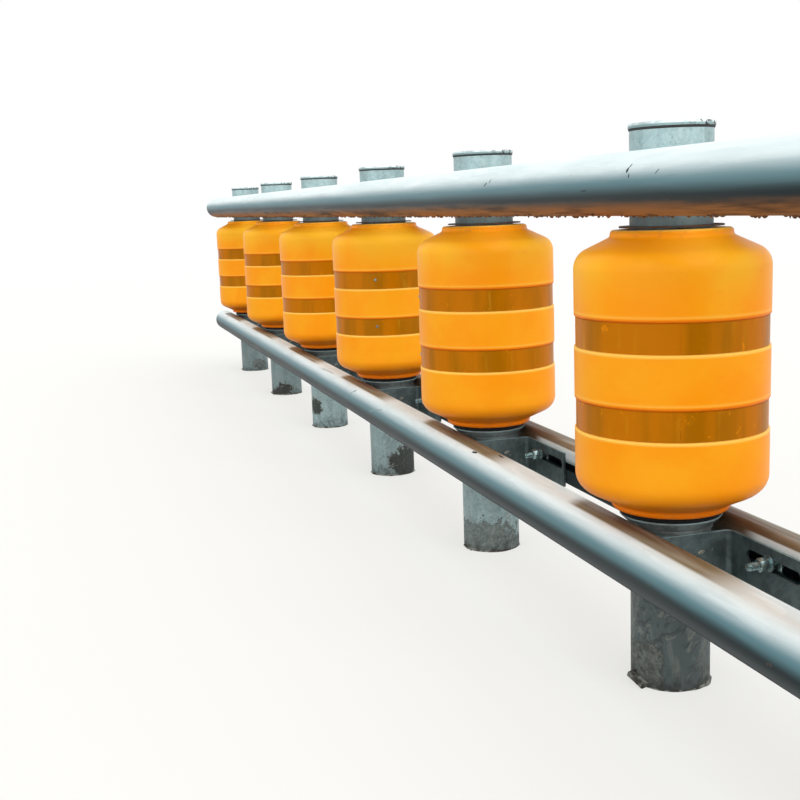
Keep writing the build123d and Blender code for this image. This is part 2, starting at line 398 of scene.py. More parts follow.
def spangle_group():
    """Zinc crystals: a tone for each, and broad dull patches."""
    nodes, given, result = new_group("Zinc spangle", {"Crystals": 110.0, "Patches": 9.0},
                                     ["Crystal", "Patch"])
    bent = nodes.node("ShaderNodeTexNoise", {"Vector": given["Vector"], "Scale": 60.0, "Detail": 2.0})
    warped = nodes.node("ShaderNodeMix", {0: 0.012, 4: given["Vector"], 5: bent.outputs["Color"]},
                        data_type="VECTOR").outputs[1]
    cells = nodes.node("ShaderNodeTexVoronoi", {"Vector": warped, "Scale": given["Crystals"]})
    tone = nodes.node("ShaderNodeSeparateColor", {"Color": cells.outputs["Color"]}).outputs["Red"]
    nodes.tree.links.new(tone, result["Crystal"])
    patch = nodes.noise(given["Vector"], given["Patches"], 6.0, 0.62, 0.6)
    nodes.tree.links.new(nodes.ranged(patch, 0.42, 0.64), result["Patch"])
    return nodes.tree


def ragged_fade_group():
    """A ragged mask, full below one height and gone above another, that places dirt, soil and painted shade.
    """
    numbers = {"Height": 0.0, "Full below": 0.0, "None above": 1.0, "Scale": 30.0, "Ragged": 0.5}
    nodes, given, result = new_group("Grime", numbers, ["Mask"])
    ragged = nodes.noise(given["Vector"], given["Scale"], 7.0, 0.68, 0.2)
    span = nodes.minus(given["None above"], given["Full below"])
    pushed = nodes.times(nodes.minus(ragged, 0.5), given["Ragged"], span)
    height = nodes.plus(given["Height"], pushed)
    nodes.tree.links.new(nodes.ranged(height, given["None above"], given["Full below"]), result["Mask"])
    return nodes.tree


def scratch_group():
    """Thin broken scratches along X, and small chips."""
    nodes, given, result = new_group("Scratches", {"Scale": 60.0}, ["Scratch", "Chip"])
    line = nodes.noise(nodes.stretched(given["Vector"], (0.08, 1.0, 1.0)), given["Scale"], 2.0, 0.5, 0.4)
    gap = nodes.noise(given["Vector"], 7.0, 2.0)
    broken = nodes.times(nodes.ranged(line, 0.69, 0.74), nodes.ranged(gap, 0.5, 0.62))
    nodes.tree.links.new(broken, result["Scratch"])
    chip = nodes.noise(given["Vector"], given["Scale"], 5.0, 0.7)
    nodes.tree.links.new(nodes.ranged(chip, 0.68, 0.72), result["Chip"])
    return nodes.tree


def axis_group():
    """Angle round Z, as a share of a turn, and distance from Z."""
    nodes, given, result = new_group("Round the axis", {}, ["Turn", "Radius"])
    parts = nodes.split(given["Vector"])
    turn = nodes.maths("ARCTAN2", parts["Y"], parts["X"])
    nodes.tree.links.new(nodes.maths("DIVIDE", turn, 2 * math.pi), result["Turn"])
    squares = nodes.plus(nodes.times(parts["X"], parts["X"]), nodes.times(parts["Y"], parts["Y"]))
    nodes.tree.links.new(nodes.maths("SQRT", squares), result["Radius"])
    return nodes.tree


GROUPS = {
    "Surface grain": grain_group,
    "Zinc spangle": spangle_group,
    "Grime": ragged_fade_group,
    "Scratches": scratch_group,
    "Round the axis": axis_group,
}


# Materials

# The range in which nearly all of the grain's values lie
GRAIN_SPAN = (0.3, 0.7)

# How each foot was stained: how much dull film and painted shade it bears, how much it is struck with cement,
# and one crisp area of cement (1) or soil (0), by its middle across and up and its half sizes in mm
FEET = {
    1: (0.6, 0.3, (1, 24, 22, 46, 40)),
    2: (0.95, 1.0, (1, -60, 36, 16, 52)),
    3: (0.22, 0.25, (1, -32, 16, 84, 64)),
    4: (0.25, 0.5, (0, 34, 38, 58, 66)),
    5: (0.05, 0.2, (0, -62, 84, 18, 34)),
    6: (0.45, 0.3, (0, -26, 16, 40, 44)),
    7: (0.5, 0.3, (1, 12, 40, 34, 30)),
}
SPLASH_AND_SHADE = {"Full_below": 160 * MM, "None_above": 360 * MM, "Scale": 14.0, "Ragged": 0.5}
GROUND_SOIL = {"Full_below": -30 * MM, "None_above": 55 * MM, "Scale": 60.0, "Ragged": 2.2}
SHELTER_RISE = 150 * MM
STROKE_SLANT = math.radians(-38)


def crisp_area(coat, across, up, half_across, half_up):
    """A ragged area with a crisp edge, as seen along the row: its mask, and a mask of the line round it."""
    scaled = coat.placed((0, -across / half_across, -up / half_up), (0, 1 / half_across, 1 / half_up))
    ragged = coat.noise(coat.placed(), 38.0, 7.0, 0.7, 0.6)
    far = coat.plus(coat.length(scaled), coat.ranged(ragged, 0.3, 0.7, -0.42, 0.42))
    inside = coat.ranged(far, 1.0, 0.94)
    return inside, coat.times(inside, coat.ranged(far, 0.8, 0.92))


def post_zinc(finish, n):
    """Hot-dip zinc of one post: dull patches, fine dots, painted shade below the upper rails, and a stained
    foot also darkened with painted shade.
    """
    coat = Coat(f"post_zinc_{n}", Metallic=0.45)
    film_and_painted_light_share, stroke_share, (pale, *area) = FEET[n]
    place = coat.placed()
    height = coat.split(place)["Z"]
    spangle = coat.spangle(place, 150.0, 13.0)
    streak = coat.ranged(coat.noise(coat.stretched(place, (1, 1, 0.07)), 55.0, 4.0, 0.6), 0.48, 0.68)
    dots = coat.ranged(coat.noise(place, 160.0, 5.0, 0.74), 0.55, 0.68)
    base = coat.over(finish.zinc, finish.zinc_dull, spangle["Patch"], 0.7)
    base = coat.over(base, finish.zinc_pale_and_highlight, spangle["Crystal"], 0.18)
    base = coat.over(base, finish.zinc_dull, streak, 0.35)
    base = coat.over(base, finish.slate_and_shade, dots, 0.5)

    # Painted shade on the posts below the upper rails, fading out above the lower rails
    shade_under_rails = coat.ranged(height, UPPER_MID, UPPER_MID - UPPER_R)
    above_foot = coat.ranged(height, LOWER_MID, LOWER_MID + SHELTER_RISE)
    base = coat.over(base, finish.slate_and_shade, shade_under_rails, 0.62, above_foot)
    # Dull film low on the posts, which also stands in for painted shade below the lower rails
    splash_and_shade = coat.effect("Grime", Vector=place, Height=height, **SPLASH_AND_SHADE)["Mask"]
    base = coat.over(base, finish.slate_and_shade, splash_and_shade, film_and_painted_light_share)
    smear = coat.ranged(coat.noise(coat.stretched(place, (1, 1, 0.3)), 34.0, 7.0, 0.66, 0.8), 0.52, 0.62)
    base = coat.over(base, finish.cement, smear, splash_and_shade, 0.3)

    slanted = coat.node("ShaderNodeMapping", {"Vector": place, "Rotation": (STROKE_SLANT, 0, 0)})
    stroke = coat.noise(coat.stretched(slanted.outputs["Vector"], (1, 0.28, 1)), 85.0, 4.0, 0.55, 0.7)
    where = coat.times(splash_and_shade, coat.ranged(coat.noise(place, 9.0, 2.0), 0.42, 0.52))
    pale_stroke = coat.times(coat.ranged(stroke, 0.56, 0.62), where)
    dark_stroke = coat.times(coat.ranged(stroke, 0.45, 0.38), where)
    base = coat.over(base, finish.cement, pale_stroke, 0.5 * stroke_share)
    base = coat.over(base, finish.soil, dark_stroke, 0.5 * stroke_share)

    inside, edge = crisp_area(coat, *[size * MM for size in area])
    fine = coat.noise(place, 130.0, 6.0, 0.7)
    mottle = coat.ranged(fine, 0.36, 0.62, 0.18, 0.8) if pale else coat.ranged(fine, 0.56, 0.68, 0.0, 0.6)
    stain = coat.over(finish.soil, finish.cement, mottle)
    base = coat.over(base, stain, inside, 0.6 if pale else 0.9)
    base = coat.over(base, finish.soil if pale else finish.cement, edge, 0.55)
    blotch = coat.effect("Grime", Vector=place, Height=height, **GROUND_SOIL)["Mask"]
    base = coat.over(base, finish.soil, blotch, 0.8)

    dirt = coat.maths("MAXIMUM", coat.maths("MAXIMUM", blotch, inside), pale_stroke)
    rough = coat.plus(coat.times(spangle["Crystal"], 0.16), coat.ranged(dirt, 0.0, 1.0, 0.42, 0.85))
    raised = coat.plus(coat.times(coat.minus(pale_stroke, dark_stroke), stroke_share),
                       coat.times(spangle["Patch"], 0.12))
    raised = coat.plus(raised, coat.times(inside, coat.ranged(fine, 0.35, 0.65, 0.4, 1.0)))
    return coat.done(raised, 0.6, 2 * MM, Base_Color=base, Roughness=rough,
                     Metallic=coat.times(coat.minus(1.0, dirt), 0.45))


# Where the lower rails are rubbed brown: from before each post to beyond it, and out from the posts' axis
RUB_START = (-170 * MM, -110 * MM)
RUB_END = (450 * MM, 290 * MM)
RUB_EDGE = (131 * MM, 125 * MM)
RUB_DARK_END = (340 * MM, 120 * MM)
RUB_DARK_EDGE = (122 * MM, 106 * MM)
LIP_HIGHLIGHT_ACROSS = (LIP + 3.4 * MM, LIP + 1.6 * MM)
LIP_HIGHLIGHT_ALONG = (100 * MM, 160 * MM)


def rail_rub(coat, finish, base, level, uneven):
    """The inner top of a lower rail: rubbed brown at each post and darkest close under the roller, with a
    painted highlight on the lip between the rubs.
    """
    near_post = coat.split(coat.at_each_post())
    beyond = near_post["X"]
    across = coat.distance(near_post["Y"])
    on_top = coat.ranged(level, 0.1, 0.5)
    rub = coat.times(coat.ranged(across, *RUB_EDGE), coat.ranged(beyond, *RUB_START),
                     coat.ranged(beyond, *RUB_END), coat.ranged(uneven, 0.3, 0.6, 0.75, 1.0), on_top, 0.95)
    base = coat.over(base, finish.dust, rub)
    dark = coat.times(coat.ranged(beyond, *RUB_DARK_END), coat.ranged(across, *RUB_DARK_EDGE, 0.0, 0.72))
    base = coat.over(base, finish.run, rub, dark)
    # Painted highlight along the inner edge of the rail's lip, away from the posts
    lip = coat.times(coat.ranged(across, *LIP_HIGHLIGHT_ACROSS), on_top, coat.ranged(coat.distance(beyond), *LIP_HIGHLIGHT_ALONG))
    return coat.over(base, finish.zinc_pale_and_highlight, lip, 0.8)


def rail_zinc(name, finish, middle, half, lit_side_from, film_and_painted_light_share, rubbed):
    """Zinc on a rail, with painted light and shade by height: pale on top as a painted highlight, darker on
    the flanks and darkest beneath as painted shade; with brown film beneath, scuffs and dents.
    """
    coat = Coat(name, Specular_IOR_Level=0.15)
    place = coat.placed()
    along = coat.stretched(place, (0.12, 1, 1))
    grain = coat.grain(coat.stretched(place, (0.06, 1, 1)), 300.0, 46.0)
    level = coat.split(coat.placed((0, 0, -middle / half), (1, 1, 1 / half)))["Z"]
    level = coat.plus(level, coat.times(coat.minus(grain["Wide"], 0.5), 0.2))
    spangle = coat.spangle(along, 120.0, 9.0)
    # Painted light and shade: dark beneath, half-shade on the flanks and a painted highlight on top, by
    # height in the rail
    flank = coat.ranged(level, lit_side_from - 0.46, lit_side_from + 0.04)
    base = coat.over(finish.zinc_dark_and_shade, finish.zinc_grey_and_flank_shade, flank)
    base = coat.over(base, finish.zinc_pale_and_highlight, coat.ranged(level, lit_side_from - 0.04, lit_side_from + 0.52))
    # The upper side that carries the painted highlight, where the zinc's crystals and patches show
    lit_side = coat.ranged(level, lit_side_from - 0.5, lit_side_from + 0.3)
    base = coat.over(base, finish.zinc_grey_and_flank_shade, spangle["Crystal"], 0.1, lit_side)
    base = coat.over(base, finish.zinc, spangle["Patch"], 0.2, lit_side)

    # Brown road film beneath the rail, which on the upper rails also stands in for a painted reflection of
    # the orange rollers below
    film = coat.effect("Grime", Vector=along, Height=level, Full_below=-0.92, None_above=-0.42,
                       Scale=60.0, Ragged=0.5)["Mask"]
    film_tone = coat.over(finish.film, finish.run, coat.ranged(coat.noise(along, 30.0, 4.0, 0.6), 0.46, 0.66))
    base = coat.over(base, film_tone, film, film_and_painted_light_share)
    if rubbed:
        base = rail_rub(coat, finish, base, level, grain["Wide"])
    marks = coat.effect("Scratches", Vector=coat.stretched(place, (0.3, 1, 1)), Scale=75.0)
    base = coat.over(base, finish.zinc_dark_and_shade, marks["Scratch"], 0.5)
    base = coat.over(base, finish.film, marks["Chip"], 0.35)

    dent = coat.ranged(coat.noise(along, 24.0, 2.0, 0.4), 0.64, 0.74)
    relief = coat.minus(coat.times(grain["Fine"], 0.03), coat.times(dent, 0.3))
    rough = coat.plus(coat.times(grain["Wide"], 0.22), coat.ranged(film, 0, 1, 0.34, 0.6))
    return coat.done(relief, 0.5, 1.6 * MM, Base_Color=base, Roughness=rough,
                     Metallic=coat.ranged(film, 0.0, 1.0, 0.3, 0.05))


def dull_plate(name, finish, tone, highlight):
    """Thick dull plate with blotches, scratches and cement dust, with a painted highlight where a mask says
    so.
    """
    coat = Coat(name, Metallic=0.5)
    place = coat.placed()
    spangle = coat.spangle(place, 140.0, 24.0)
    grain = coat.grain(place, 700.0, 30.0)
    marks = coat.effect("Scratches", Vector=place, Scale=110.0)
    base = coat.over(tone, finish.zinc_dark_and_shade, spangle["Crystal"], 0.3)
    base = coat.over(base, finish.zinc_dull, spangle["Patch"], 0.28)
    base = coat.over(base, finish.cement, marks["Chip"], 0.5)
    base = coat.over(base, finish.zinc, marks["Scratch"], 0.5)
    base = coat.over(base, finish.zinc, highlight(coat, grain["Wide"]))
    relief = coat.plus(coat.times(grain["Fine"], 0.3), spangle["Patch"])
    return coat.done(relief, 0.25, 0.6 * MM, Base_Color=base,
                     Roughness=coat.ranged(grain["Wide"], *GRAIN_SPAN, 0.36, 0.62))


def highlight_top_edge(box):
    """Painted highlight along the top edge of plate that ends at a box's top."""
    def mask(coat, unevenness):
        near = coat.ranged(coat.split(coat.placed())["Z"], box[1].z - 1.6 * MM, box[1].z - 0.4 * MM)
        return coat.times(near, coat.ranged(unevenness, 0.3, 0.6, 0.35, 0.9))
    return mask


def highlight_rim(radius, low, high):
    """Painted highlight round a rim of each post's own axis, between two heights."""
    def mask(coat, unevenness):
        place = coat.at_each_post()
        polar = coat.effect("Round the axis", Vector=place)
        return coat.times(coat.ranged(polar["Radius"], radius - 3.2 * MM, radius - 1.2 * MM),
                          coat.ranged(coat.split(place)["Z"], low, high),
                          coat.ranged(unevenness, 0.3, 0.6, 0.3, 0.85))
    return mask


def cap_zinc(finish):
    """Pale zinc of the caps, with a painted highlight round the edge, and dark specks where the edge was
    knocked.
    """
    coat = Coat("cap_zinc", Metallic=0.4)
    place = coat.placed()
    spangle = coat.spangle(place, 120.0, 20.0)
    grain = coat.grain(place, 600.0, 34.0)
    # Painted highlight round the cap's rim
    edge = highlight_rim(POST_R + 2.5 * MM, CAP_TOP - 5 * MM, CAP_TOP - 3 * MM)
    base = coat.over(finish.zinc_dull, finish.zinc, spangle["Patch"], 0.6)
    base = coat.over(base, finish.zinc_pale_and_highlight, edge(coat, grain["Wide"]))
    polar = coat.effect("Round the axis", Vector=coat.at_each_post())
    speck = coat.times(coat.ranged(coat.noise(place, 130.0, 6.0, 0.72), 0.51, 0.56),
                       coat.ranged(polar["Radius"], POST_R - 14 * MM, POST_R),
                       coat.ranged(polar["Turn"], -0.04, 0.04))
    base = coat.over(base, finish.soil, speck)
    relief = coat.minus(coat.times(spangle["Patch"], 0.4), speck)
    return coat.done(relief, 0.3, 0.8 * MM, Base_Color=base,
                     Roughness=coat.ranged(spangle["Crystal"], 0.0, 1.0, 0.4, 0.6))


def ring_steel(finish):
    """Dull ring above a roller, browned where foam dust lies on it."""
    coat = Coat("ring_steel", Metallic=0.35)
    place = coat.placed()
    grain = coat.grain(place, 700.0, 55.0)
    spangle = coat.spangle(place, 160.0, 40.0)
    base = coat.over(finish.zinc_dark_and_shade, finish.plate, spangle["Crystal"], 0.4)
    base = coat.over(base, finish.run, coat.ranged(grain["Wide"], 0.34, 0.56, 0.2, 0.95))
    return coat.done(grain["Fine"], 0.3, 0.4 * MM, Base_Color=base,
                     Roughness=coat.ranged(grain["Wide"], *GRAIN_SPAN, 0.5, 0.75))


def soft_rubber(finish):
    """Black rubber with dust in its grain."""
    coat = Coat("black_rubber", Metallic=0.0, Specular_IOR_Level=0.2)
    grain = coat.grain(coat.placed(), 800.0, 45.0)
    base = coat.over(finish.rubber, finish.cement, coat.ranged(grain["Wide"], 0.5, 0.72, 0.0, 0.04))
    return coat.done(grain["Fine"], 0.4, 0.4 * MM, Base_Color=base,
                     Roughness=coat.ranged(grain["Wide"], *GRAIN_SPAN, 0.5, 0.8))


def bolt_zinc(finish):
    """Bright bolt steel, dulled in patches, with dirt in the thread."""
    coat = Coat("bolt_zinc")
    place = coat.placed()
    spangle = coat.spangle(place, 260.0, 120.0)
    grain = coat.grain(place, 1400.0, 160.0)
    stain = coat.ranged(grain["Wide"], 0.55, 0.7, 0.0, 0.5)
    base = coat.over(finish.zinc, finish.plate, spangle["Patch"], 0.75)
    base = coat.over(base, finish.film, stain)
    return coat.done(grain["Fine"], 0.2, 0.2 * MM, Base_Color=base,
                     Metallic=coat.ranged(stain, 0.0, 0.5, 0.85, 0.35),
                     Roughness=coat.ranged(spangle["Patch"], 0.0, 1.0, 0.26, 0.5))


def knocked_zinc(finish):
    """Bare, darkened zinc where a knock broke the rail's surface."""
    coat = Coat("knocked_zinc", Metallic=0.2, Specular_IOR_Level=0.2)
    grain = coat.grain(coat.placed(), 900.0, 220.0)
    base = coat.over(finish.zinc_dark_and_shade, finish.slate_and_shade, coat.ranged(grain["Wide"], 0.4, 0.6))
    return coat.done(grain["Fine"], 0.4, 0.4 * MM, Base_Color=base,
                     Roughness=coat.ranged(grain["Wide"], *GRAIN_SPAN, 0.5, 0.75))


def dried_cement(name, finish, soil_share):
    """Cement with soil in it, dried on the steel."""
    coat = Coat(name, Metallic=0.0)
    grain = coat.grain(coat.placed(), 260.0, 48.0)
    base = coat.over(finish.cement, finish.soil, coat.ranged(grain["Wide"], 0.6, 0.4, 0.0, soil_share))
    base = coat.over(base, finish.run, coat.ranged(grain["Fine"], 0.5, 0.75, 0.0, 0.3 * soil_share))
    return coat.done(grain["Fine"], 0.8, 2 * MM, Base_Color=base,
                     Roughness=coat.ranged(grain["Fine"], *GRAIN_SPAN, 0.75, 0.95))


def run_zinc(finish):
    """Zinc runs, browned by road film."""
    coat = Coat("run_zinc", Specular_IOR_Level=0.2)
    grain = coat.grain(coat.placed(), 700.0, 90.0)
    base = coat.over(finish.run, finish.film, coat.ranged(grain["Wide"], 0.42, 0.7, 0.0, 0.6))
    return coat.done(grain["Fine"], 0.3, 0.4 * MM, Base_Color=base,
                     Metallic=coat.ranged(grain["Wide"], 0.4, 0.7, 0.05, 0.3),
                     Roughness=coat.ranged(grain["Wide"], *GRAIN_SPAN, 0.4, 0.7))


# Bands of painted shade and painted highlight in the foam, by how far they start and end beyond the edge of a
# recess's tape
SHADE_UNDER_UPPER_LIP = (BAND_HALF + 7.5 * MM, BAND_HALF + 4 * MM)
UPPER_LIP_HIGHLIGHT_START = (BAND_HALF + 6.5 * MM, BAND_HALF + 8.5 * MM)
UPPER_LIP_HIGHLIGHT_END = (BAND_HALF + 13 * MM, BAND_HALF + 9 * MM)
LOWER_LIP_HIGHLIGHT = (-BAND_HALF - 8 * MM, -BAND_HALF - 4 * MM)
NECK_RIM_HIGHLIGHT = (ROLLER_HALF - 3.5 * MM, ROLLER_HALF - 1.5 * MM)
NECK_REACH = (118 * MM, 98 * MM)


def lip_shade_and_highlights(coat, finish, base, height):
    """Painted light and shade round each recess: painted shade just above each tape under its upper lip,
    painted highlights on both lips, and a painted highlight on the rim of the top.
    """
    above = coat.minus(height, coat.times(coat.maths("SIGN", height), BAND_OFF))
    # Painted shade just above each tape, under the recess's upper lip
    under = coat.times(coat.ranged(above, *SHADE_UNDER_UPPER_LIP), coat.ranged(above, 0.0, BAND_HALF))
    base = coat.over(base, finish.foam_deep_and_shade, under, 0.75)
    # Painted highlights on the upper and lower lips of each recess and on the rim of the top
    glow = coat.times(coat.ranged(above, *UPPER_LIP_HIGHLIGHT_START), coat.ranged(above, *UPPER_LIP_HIGHLIGHT_END), 0.35)
    highlight = coat.times(coat.ranged(above, *LOWER_LIP_HIGHLIGHT), coat.ranged(above, 0.0, -BAND_HALF), 0.75)
    lit = coat.plus(coat.plus(glow, highlight), coat.ranged(height, *NECK_RIM_HIGHLIGHT, 0.0, 0.6), clamp=True)
    return coat.over(base, finish.foam_lip_highlight, lit)


def roller_foam(finish, n):
    """Smooth foam skin of one roller: soft mottling, painted shade low down, with grime and rubs."""
    coat = Coat(f"roller_foam_{n}", Metallic=0.0, Specular_IOR_Level=0.1)
    place = coat.placed((-POST_X[n], 0, -ROLLER_MID))
    shift = coat.placed((n * 1.7, n * 0.9, n * 2.3))
    height = coat.split(place)["Z"]
    grain = coat.grain(shift, 650.0, 5.5)
    base = coat.over(finish.foam, finish.foam_light, coat.ranged(grain["Wide"], *GRAIN_SPAN))
    # Painted highlight: the upper shoulders are made paler where light from above falls on them
    bleached = coat.times(coat.ranged(height, ROLLER_HALF * 0.45, ROLLER_HALF * 0.85),
                          coat.ranged(grain["Wide"], 0.3, 0.62, 0.35, 0.9),
                          coat.ranged(height, ROLLER_HALF * 0.97, ROLLER_HALF * 0.8))
    base = coat.over(base, finish.foam_shoulder_highlight, bleached)
    # Painted shade: the foam turns deeper and redder towards the bottom of the roller
    low = coat.effect("Grime", Vector=shift, Height=height, Full_below=-ROLLER_HALF * 1.02,
                      None_above=-ROLLER_HALF * 0.66, Scale=9.0, Ragged=0.35)["Mask"]
    base = coat.over(base, finish.foam_deep_and_shade, low, 0.8)
    pits = coat.times(coat.ranged(coat.noise(shift, 150.0, 2.0, 0.5), 0.69, 0.76),
                      coat.ranged(coat.noise(shift, 6.0, 2.0), 0.42, 0.6))
    base = coat.over(base, finish.foam_deep_and_shade, pits, 0.4)
    base = lip_shade_and_highlights(coat, finish, base, height)
    rub = coat.ranged(coat.noise(coat.stretched(shift, (1, 1, 2.6)), 24.0, 6.0, 0.66, 1.2), 0.63, 0.72)
    base = coat.over(base, finish.foam_deep_and_shade, rub, 0.22)
    neck = coat.ranged(coat.effect("Round the axis", Vector=place)["Radius"], *NECK_REACH)
    neck_dirt = coat.ranged(coat.noise(shift, 45.0, 5.0, 0.65), 0.5, 0.7)
    base = coat.over(base, finish.film, neck, neck_dirt, 0.35)
    rough = coat.plus(coat.ranged(grain["Wide"], *GRAIN_SPAN, 0.34, 0.46), coat.times(rub, 0.15))
    dips = coat.plus(coat.times(rub, 0.8), coat.times(pits, 0.6))
    return coat.done(coat.minus(coat.times(grain["Fine"], 0.25), dips), 0.2, 0.8 * MM,
                     Base_Color=base, Roughness=rough)


def band_tape(finish, n):
    """Reflective tape of one roller: glints along its height, tiny cells and rubbed edges."""
    coat = Coat(f"band_tape_{n}", Metallic=0.05, Specular_IOR_Level=0.05)
    place = coat.placed((-POST_X[n], 0, -ROLLER_MID))
    shift = coat.placed((n * 1.1, n * 2.9, n * 0.7))
    height = coat.split(place)["Z"]
    turn = coat.effect("Round the axis", Vector=place)["Turn"]
    wrapped = coat.joined(coat.plus(turn, n * 3.1), n * 1.3, coat.times(height, 0.12))
    broad = coat.ranged(coat.noise(wrapped, 17.0, 3.0, 0.55), 0.4, 0.64)
    base = coat.over(finish.tape, finish.tape_deep, broad)
    streak = coat.ranged(coat.noise(wrapped, 62.0, 3.0, 0.6), 0.58, 0.74)
    base = coat.over(base, finish.tape_glint, streak, 0.32)
    rub = coat.ranged(coat.noise(coat.stretched(shift, (1, 1, 0.8)), 42.0, 7.0, 0.7, 0.9), 0.62, 0.69)
    from_middle = coat.distance(coat.minus(coat.distance(height), BAND_OFF))
    edge_wear = coat.times(rub, coat.ranged(from_middle, 0.0, BAND_HALF, 0.25, 1.0))
    base = coat.over(base, finish.foam, edge_wear, 0.55)
    cells = coat.node("ShaderNodeTexVoronoi", {"Vector": place, "Scale": 300.0}, feature="DISTANCE_TO_EDGE")
    cell_line = coat.ranged(cells.outputs["Distance"], 0.0, 0.12)
    rough = coat.plus(coat.ranged(streak, 0, 1, 0.3, 0.2), coat.times(edge_wear, 0.3))
    return coat.done(coat.minus(coat.times(cell_line, 0.25), edge_wear), 0.22, 0.4 * MM,
                     Base_Color=base, Roughness=rough)


def give(node_name, material):
    """Puts a material in the slots of a node of the frame."""
    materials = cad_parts[node_name].data.materials
    materials.clear()
    materials.append(material)


# Pieces

WASHER_STEPS = 28
BOLT_STEPS = 24
DOME_STEPS = 12
RIVET_STEPS = 16
SEAM_STEPS = 4
RUN_STEPS = 7
SHADOW_RING_STEPS = 72
CRUST_STEPS = 56
EDGE = 0.25 * MM
NUT_BEVEL = 0.9 * MM
PLATE_BEVEL = 1.2 * MM
THREAD_PER_TURN = 20
THREAD_DEPTH = 0.55
THREAD_MERGE = 0.02 * MM
TIP_LENGTH = 0.9
TIP_TAPER = 0.86
SPRING_SHARE = 0.52
SHADOW_RING_OUT = 1.6 * MM
RUN_SPREAD = 9
RUN_LIFT = 0.2 * MM


def bevelled(shape, geom, offset):
    return bmesh.ops.bevel(shape, geom=geom, offset=offset, offset_type="OFFSET", segments=2, profile=0.5,
                           affect="EDGES", material=-1)["faces"]


def swept(shape, line, turn, steps, rise=0.0):
    """Sweeps a line round Z through an angle, rising a little at each step."""
    bmesh.ops.spin(shape, geom=line, cent=(0, 0, 0), axis=(0, 0, 1), dvec=(0, 0, rise),
                   angle=turn, steps=steps, use_merge=False, use_duplicate=False)


def bolt(shape, sizes, behind):
    """A bolt along Z. Its washer sits at 0, its thread points up and its head lies below."""
    radius = sizes.bolt / 2
    bore = radius + EDGE
    washer_r = sizes.washer / 2
    washer_top = sizes.washer_height
    turned(shape, [(bore, 0), (washer_r - EDGE, 0), (washer_r, EDGE), (washer_r, washer_top - EDGE),
                   (washer_r - EDGE, washer_top), (bore, washer_top)], WASHER_STEPS, closed=True)
    spring_r = sizes.nut_flats * SPRING_SHARE
    nut_base = washer_top + sizes.spring
    turned(shape, [(bore, washer_top), (spring_r, washer_top), (spring_r, nut_base - 2 * EDGE),
                   (spring_r - EDGE, nut_base - EDGE), (bore, nut_base - EDGE)], BOLT_STEPS, closed=True)

    before = set(shape.verts)
    corner_r = sizes.nut_flats / 2 / math.cos(math.pi / 6)
    blank = bmesh.ops.create_circle(shape, cap_ends=True, segments=6, radius=corner_r)
    bmesh.ops.translate(shape, verts=blank["verts"], vec=(0, 0, nut_base))
    face = blank["verts"][0].link_faces[0]
    raised = bmesh.ops.extrude_face_region(shape, geom=[face])["geom"]
    bmesh.ops.translate(shape, vec=(0, 0, sizes.nut_height),
                        verts=[item for item in raised if isinstance(item, bmesh.types.BMVert)])
    bevelled(shape, [edge for edge in shape.edges if edge.verts[0] not in before], NUT_BEVEL)

    thread(shape, radius, sizes.pitch, nut_base + sizes.nut_height + sizes.standout)
    head_top = -behind - sizes.head
    turned(shape, [(0, head_top), (radius * 1.3, head_top), (radius * 1.7, -behind - sizes.head * 0.55),
                   (radius * 1.75, -behind), (radius, -behind), (radius, BURIED), (0, BURIED)], BOLT_STEPS)


def thread(shape, radius, pitch, end):
    """A helical thread from 0 to an end, closed at both and tapered at the tip."""
    root = radius - pitch * THREAD_DEPTH
    turns = math.ceil(end / pitch) + 2
    outline = [(root, -1), (radius, -0.62), (radius, -0.38), (root, 0)]
    line = chain(shape, [(out, 0, up * pitch) for out, up in outline])
    before = set(shape.faces)
    swept(shape, line, 2 * math.pi * turns, THREAD_PER_TURN * turns, pitch / THREAD_PER_TURN)
    faces = [face for face in shape.faces if face not in before]
    bmesh.ops.remove_doubles(shape, verts=verts_of(faces), dist=THREAD_MERGE)
    for height, facing in ((0.0, -1), (end, 1)):
        faces = [face for face in shape.faces if face not in before]
        geom = faces + verts_of(faces) + once(edge for face in faces for edge in face.edges)
        cut = bmesh.ops.bisect_plane(shape, geom=geom, dist=MERGE, plane_co=(0, 0, height),
                                     plane_no=(0, 0, facing), clear_outer=True)["geom_cut"]
        rim = [item for item in cut if isinstance(item, bmesh.types.BMEdge)]
        bmesh.ops.holes_fill(shape, edges=rim, sides=0)
    tip = [vert for vert in verts_of([face for face in shape.faces if face not in before])
           if vert.co.z > end - TIP_LENGTH * pitch]
    bmesh.ops.scale(shape, verts=tip, vec=(TIP_TAPER, TIP_TAPER, 1))


def bolts(name, sizes, finish, side, places, depth, height):
    """One row of bolts: a bolt at each place along X, turned to point to the row's middle."""
    shape = bmesh.new()
    bolt(shape, sizes, depth)
    seeded = random.Random(f"bolts {name}")
    turn = Matrix.Rotation(side * (math.pi / 2 + sizes.droop), 4, "X")
    matrices = []
    for x, y in places:
        spin = Matrix.Rotation(seeded.uniform(0, math.pi / 3), 4, "Z")
        matrices.append(Matrix.Translation((x, y, height)) @ turn @ spin)
    copies(shape, matrices)
    return finished(name, shape, finish, "frame")


def bolt_plates(name, finish, sizes, places, height):
    """Square plates inside a rail, each under a bolt's head."""
    shape = bmesh.new()
    made = bmesh.ops.create_cube(shape, size=1.0)
    wide = sizes.washer * 1.4
    bmesh.ops.scale(shape, verts=made["verts"], vec=(wide, sizes.head * 0.5, wide))
    bevelled(shape, shape.edges[:], PLATE_BEVEL)
    copies(shape, [Matrix.Translation((x, y, height)) for x, y in places])
    return finished(name, shape, finish, "frame")


